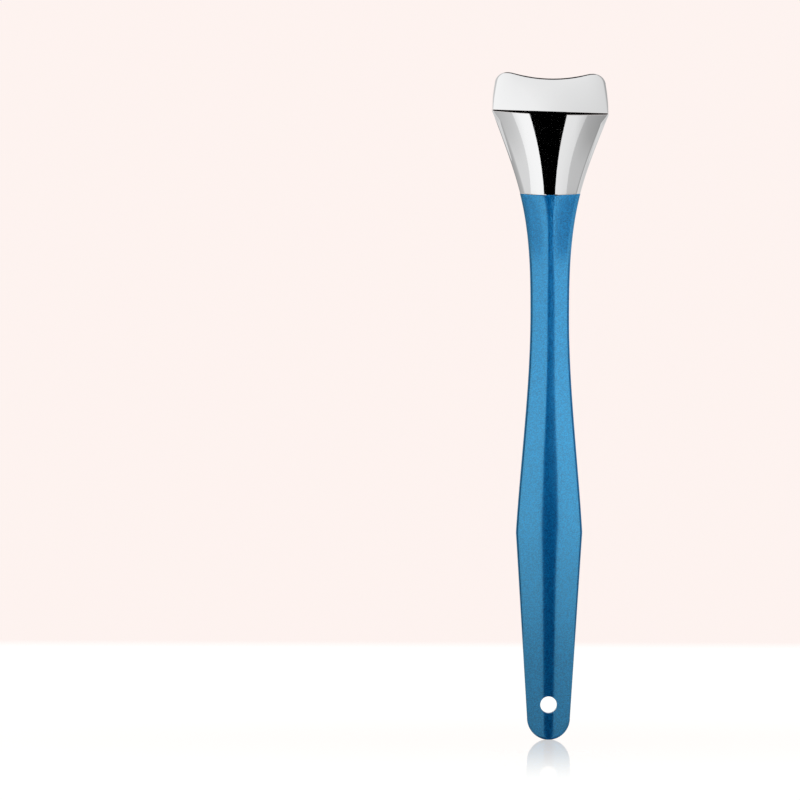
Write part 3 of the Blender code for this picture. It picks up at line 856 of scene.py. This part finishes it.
def make_floor():
    """White floor with a faint mirror image that fades away from the tool."""
    floor = plane("floor", (
        (-FLOOR_SIDE, FLOOR_NEAR, 0), (FLOOR_SIDE, FLOOR_NEAR, 0),
        (FLOOR_SIDE, FLOOR_FAR, 0), (-FLOOR_SIDE, FLOOR_FAR, 0),
    ))
    made, tree = new_material("white_floor")
    place = node(tree, "ShaderNodeNewGeometry").outputs["Position"]
    radius = node(tree, "ShaderNodeVectorMath", {0: place}, operation="LENGTH").outputs["Value"]
    near = node(tree, "ShaderNodeMapRange", {
        "Value": radius, "From Min": 0.0, "From Max": MIRROR_REACH, "To Min": MIRROR_SHARE, "To Max": 0.0,
    }, interpolation_type="SMOOTHSTEP").outputs["Result"]
    gloss = node(tree, "ShaderNodeFresnel", {"IOR": FLOOR_IOR}).outputs["Fac"]
    mirror_share = node(tree, "ShaderNodeMath", {0: near, 1: gloss}, operation="MULTIPLY").outputs["Value"]
    matte = node(tree, "ShaderNodeBsdfDiffuse", {"Color": FLOOR_COLOUR})
    glow = node(tree, "ShaderNodeEmission", {"Color": FLOOR_GLOW_COLOUR, "Strength": FLOOR_GLOW_STRENGTH})
    share = node(tree, "ShaderNodeMath", {0: camera_white(tree), 1: FLOOR_GLOW_SHARE}, operation="MULTIPLY")
    white = node(tree, "ShaderNodeMixShader", {
        0: share.outputs["Value"], 1: matte.outputs["BSDF"], 2: glow.outputs["Emission"],
    })
    mirror = node(tree, "ShaderNodeBsdfAnisotropic", {
        "Color": (1, 1, 1, 1), "Roughness": MIRROR_ROUGHNESS,
    })
    mixed = node(tree, "ShaderNodeMixShader", {
        0: mirror_share, 1: white.outputs["Shader"], 2: mirror.outputs["BSDF"],
    })
    depth = node(tree, "ShaderNodeSeparateXYZ", {"Vector": place}).outputs["Y"]
    fade = ramp(tree, depth, FLOOR_FAR - FLOOR_FADE, FLOOR_FAR, 0.0, 1.0)
    clear = node(tree, "ShaderNodeBsdfTransparent")
    faded = node(tree, "ShaderNodeMixShader", {
        0: fade, 1: mixed.outputs["Shader"], 2: clear.outputs["BSDF"],
    })
    surface(tree, faded.outputs["Shader"])
    floor.data.materials.append(made)


def upright(distance):
    """The place function of a round card that stands at a distance from the tool."""
    def place(azimuth, height):
        return distance * math.sin(azimuth), -distance * math.cos(azimuth), height
    return place


def lying(height):
    """The place function of a flat card at a height, whose rises are radii."""
    def place(azimuth, radius):
        return radius * math.sin(azimuth), -radius * math.cos(azimuth), height
    return place


def dome_place(azimuth, elevation):
    """A point of the small dome over the head."""
    reach = DOME_DISTANCE * math.cos(math.radians(elevation))
    rise = DOME_DISTANCE * math.sin(math.radians(elevation))
    return reach * math.sin(azimuth), -reach * math.cos(azimuth), HEAD_LEVEL + rise


def card_material():
    """Light of the level that the card's points carry, clear from behind."""
    made, tree = new_material("card_light")
    level = node(tree, "ShaderNodeAttribute", attribute_name="level").outputs["Fac"]
    light = node(tree, "ShaderNodeEmission", {"Color": (1, 1, 1, 1), "Strength": level})
    clear = node(tree, "ShaderNodeBsdfTransparent")
    behind = node(tree, "ShaderNodeNewGeometry").outputs["Backfacing"]
    mixed = node(tree, "ShaderNodeMixShader", {
        0: behind, 1: light.outputs["Emission"], 2: clear.outputs["BSDF"],
    })
    surface(tree, mixed.outputs["Shader"])
    return made


def card(name, material, place, azimuths, rises, levels):
    """A card that only reflections see. Levels has a row of light levels for each rise."""
    steps = math.ceil((azimuths[-1] - azimuths[0]) / CARD_STEP)
    across = np.union1d(np.linspace(azimuths[0], azimuths[-1], steps + 1), azimuths)
    up = np.union1d(np.linspace(rises[0], rises[-1], CARD_ROWS + 1), rises)
    rows = np.array([np.interp(across, azimuths, row) for row in levels])
    grid = np.array([np.interp(up, rises, column) for column in rows.T])
    points = [place(math.radians(azimuth), float(rise)) for azimuth in across for rise in up]
    card_mesh(name, material, points, len(up), grid.ravel())


def flag(name, material, place, rises, turns, halves):
    """A black card whose middle and half width, in degrees, change as it rises."""
    up = np.linspace(rises[0], rises[-1], FLAG_ROWS + 1)
    middle = np.interp(up, rises, turns)
    reach = np.interp(up, rises, halves)
    points = []
    for share in np.linspace(-1, 1, FLAG_COLUMNS + 1):
        points += [place(math.radians(a), float(rise)) for a, rise in zip(middle + share * reach, up)]
    card_mesh(name, material, points, len(up), np.zeros(len(points)))


def card_mesh(name, material, points, count, levels):
    """A card from columns of count points each, with a light level for every point."""
    faces = []
    for column in range(0, len(points) - count, count):
        for low in range(column, column + count - 1):
            faces.append((low, low + 1, low + count + 1, low + count))
    mesh = bpy.data.meshes.new(name)
    mesh.from_pydata(points, [], faces)
    mesh.attributes.new("level", "FLOAT", "POINT").data.foreach_set("value", levels)
    mesh.materials.append(material)
    made = bpy.data.objects.new(name, mesh)
    bpy.context.scene.collection.objects.link(made)
    made.visible_camera = False
    made.visible_diffuse = False
    made.visible_shadow = False


def make_cards():
    """What the tool mirrors: dark flags in front and above, white and grey cards all round."""
    material = card_material()
    black = ((0, 0), (0, 0))

    inside_wall = upright(FLAG_DISTANCE)
    flag("head_flag", material, inside_wall, HEAD_FLAG_HEIGHTS, HEAD_FLAG_TURNS, HEAD_FLAG_HALVES)
    card("header_flag", material, inside_wall, HEADER_AZIMUTHS, HEADER_HEIGHTS, black)
    wall = upright(WALL_DISTANCE)
    for name, azimuths, levels in (
        ("left_white_card", LEFT_WHITE_AZIMUTHS, LEFT_WHITE_LEVELS),
        ("left_grey_card", LEFT_GREY_AZIMUTHS, LEFT_GREY_LEVELS),
        ("right_white_card", RIGHT_WHITE_AZIMUTHS, RIGHT_WHITE_LEVELS),
        ("right_grey_card", RIGHT_GREY_AZIMUTHS, RIGHT_GREY_LEVELS),
        ("right_light_card", RIGHT_LIGHT_AZIMUTHS, RIGHT_LIGHT_LEVELS),
    ):
        card(name, material, wall, azimuths, WALL_HEIGHTS, levels)

    inside_ring = upright(RING_FLAG_DISTANCE)
    flag("handle_flag", material, inside_ring, RING_FLAG_HEIGHTS, RING_FLAG_TURNS, RING_FLAG_HALVES)
    ring = upright(RING_DISTANCE)
    front_levels = [[share * level for share in RING_SHARES] for level in RING_LEVELS]
    card("front_ring_card", material, ring, RING_AZIMUTHS, RING_HEIGHTS, front_levels)
    card("rear_ring_card", material, ring, REAR_AZIMUTHS, REAR_HEIGHTS, (REAR_LEVELS, REAR_LEVELS))

    floor_levels = [(level, level) for level in FLOOR_LEVELS]
    card("floor_card", material, lying(CARD_LIFT), ALL_ROUND, FLOOR_REACHES, floor_levels)
    flag(
        "floor_flag", material, lying(2 * CARD_LIFT), FLOOR_FLAG_REACHES,
        (RING_FLAG_TURNS[0], RING_FLAG_TURNS[0]), (RING_FLAG_HALVES[0], RING_FLAG_HALVES[0]),
    )
    card("top_light", material, dome_place, TOP_AZIMUTHS, TOP_ELEVATIONS, (TOP_LEVELS, TOP_LEVELS))
    card("ceiling_flag", material, dome_place, ALL_ROUND, CEILING_ELEVATIONS, black)


def make_world():
    """Pale rose backdrop that also lights the tool evenly."""
    world = bpy.data.worlds.new("studio")
    bpy.context.scene.world = world
    world.use_nodes = True
    tree = world.node_tree
    tree.nodes.clear()
    backdrop = node(tree, "ShaderNodeBackground", {"Color": BACKDROP_COLOUR, "Strength": 1.0})
    ambient = node(tree, "ShaderNodeBackground", {"Color": (1, 1, 1, 1), "Strength": AMBIENT_STRENGTH})
    mixed = node(tree, "ShaderNodeMixShader", {
        0: camera_white(tree), 1: ambient.outputs["Background"], 2: backdrop.outputs["Background"],
    })
    output = tree.nodes.new("ShaderNodeOutputWorld")
    tree.links.new(mixed.outputs["Shader"], output.inputs["Surface"])


def area_lamp(name, location, aim, size, power, spread):
    """A square soft lamp that lights without showing in reflections."""
    data = bpy.data.lights.new(name, "AREA")
    data.size = size
    data.energy = power
    data.spread = spread
    lamp = bpy.data.objects.new(name, data)
    bpy.context.scene.collection.objects.link(lamp)
    lamp.location = location
    lamp.rotation_euler = (Vector(aim) - Vector(location)).to_track_quat("-Z", "Y").to_euler()
    lamp.visible_camera = False
    lamp.visible_glossy = False


def make_stage():
    """Floor, backdrop, lamp and the cards that the tool mirrors."""
    make_floor()
    make_world()
    make_cards()
    area_lamp("key_lamp", LAMP_PLACE, LAMP_AIM, LAMP_SIZE, LAMP_POWER, LAMP_SPREAD)


def main():
    chrome = chrome_material("bright_chrome_plate", CHROME_TONE)
    blade_steel = chrome_material("mirror_polished_steel", CHROME_TONE)
    pearl = pearl_material()
    pin_steel = steel_material(
        "ground_pin_steel", tone=0.62, roughness_low=0.16, roughness_high=0.3,
        grain=(9000.0, 9000.0, 9000.0),
    )
    strip_steel = steel_material(
        "strip_steel_mill_finish", tone=0.5, roughness_low=0.3, roughness_high=0.5,
        grain=(7000.0, 7000.0, 300.0),
    )

    dress(build_handle(), pearl, "handle")
    dress(build_neck(), chrome, "neck")
    dress(build_blade(), blade_steel, "scraper_blade")
    for name, (pin_x, pin_z) in pin_places().items():
        dress(build_pin(name, pin_x, pin_z), pin_steel, name)
    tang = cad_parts["tang"]
    tang.data.materials.clear()
    tang.data.materials.append(strip_steel)

    make_camera()
    make_stage()
    bpy.context.scene.view_settings.view_transform = "Standard"


main()
